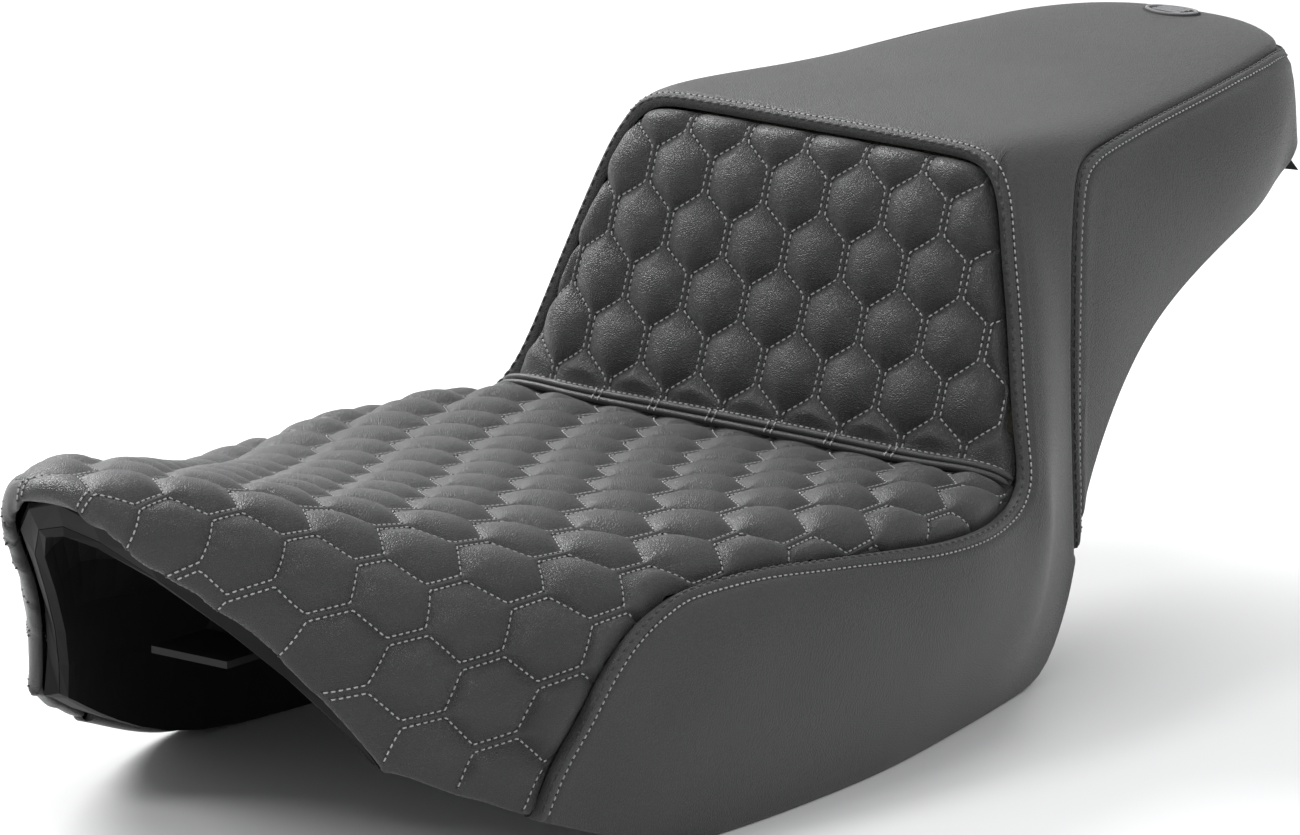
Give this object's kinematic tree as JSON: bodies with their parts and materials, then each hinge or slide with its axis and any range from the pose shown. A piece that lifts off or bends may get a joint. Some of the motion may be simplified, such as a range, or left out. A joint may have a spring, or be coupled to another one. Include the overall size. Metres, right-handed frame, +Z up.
{
  "type": "two-up motorcycle saddle",
  "caption": "Stepped two-up touring saddle: hexagon-quilted driver bucket with skirts and backrest, smooth cover and passenger pad.",
  "frame": {"origin": "under the middle of the saddle, on the plane its skirts stand on", "axes": "+Z up, -Y towards the nose (front of the motorcycle), +X to the rider's left"},
  "size_m": [0.3132, 0.7852, 0.2394],
  "materials": {
    "quilted_vinyl": "fine-grained soft satin, hexagon quilted in pale grey thread",
    "smooth_vinyl": "fine-grained soft satin",
    "welt_vinyl": "satin",
    "quilt_foam": "scrim-backed open foam",
    "listing_cloth": "plain woven",
    "seat_foam": "moulded open-cell foam",
    "pan_plastic": "lightly textured black",
    "edge_rubber": "matt black",
    "badge_thread": "grey embroidery thread",
    "bracket_steel": "black powder coat",
    "screw_steel": "zinc plated",
    "insert_brass": "bare",
    "bumper_rubber": "matt black"
  },
  "bodies": {
    "root": {"driver_quilt_panel": "quilted_vinyl", "backrest_quilt_panel": "quilted_vinyl", "main_cover": "smooth_vinyl", "passenger_band": "smooth_vinyl", "backrest_welt": "welt_vinyl", "driver_quilt_padding": "quilt_foam", "backrest_quilt_padding": "quilt_foam", "listing_tongue": "listing_cloth", "driver_foam": "seat_foam", "passenger_foam": "seat_foam", "base_pan": "pan_plastic", "edging_strip": "edge_rubber", "badge_patch": "badge_thread", "front_bracket": "bracket_steel", "rear_bracket": "bracket_steel", "front_screw_left": "screw_steel", "front_insert_left": "insert_brass", "front_screw_right": "screw_steel", "front_insert_right": "insert_brass", "rear_screw_left": "screw_steel", "rear_insert_left": "insert_brass", "rear_screw_right": "screw_steel", "rear_insert_right": "insert_brass", "front_bumper_left": "bumper_rubber", "front_bumper_right": "bumper_rubber", "middle_bumper_left": "bumper_rubber", "middle_bumper_right": "bumper_rubber", "rear_bumper_left": "bumper_rubber", "rear_bumper_right": "bumper_rubber"}
  },
  "joints": []
}
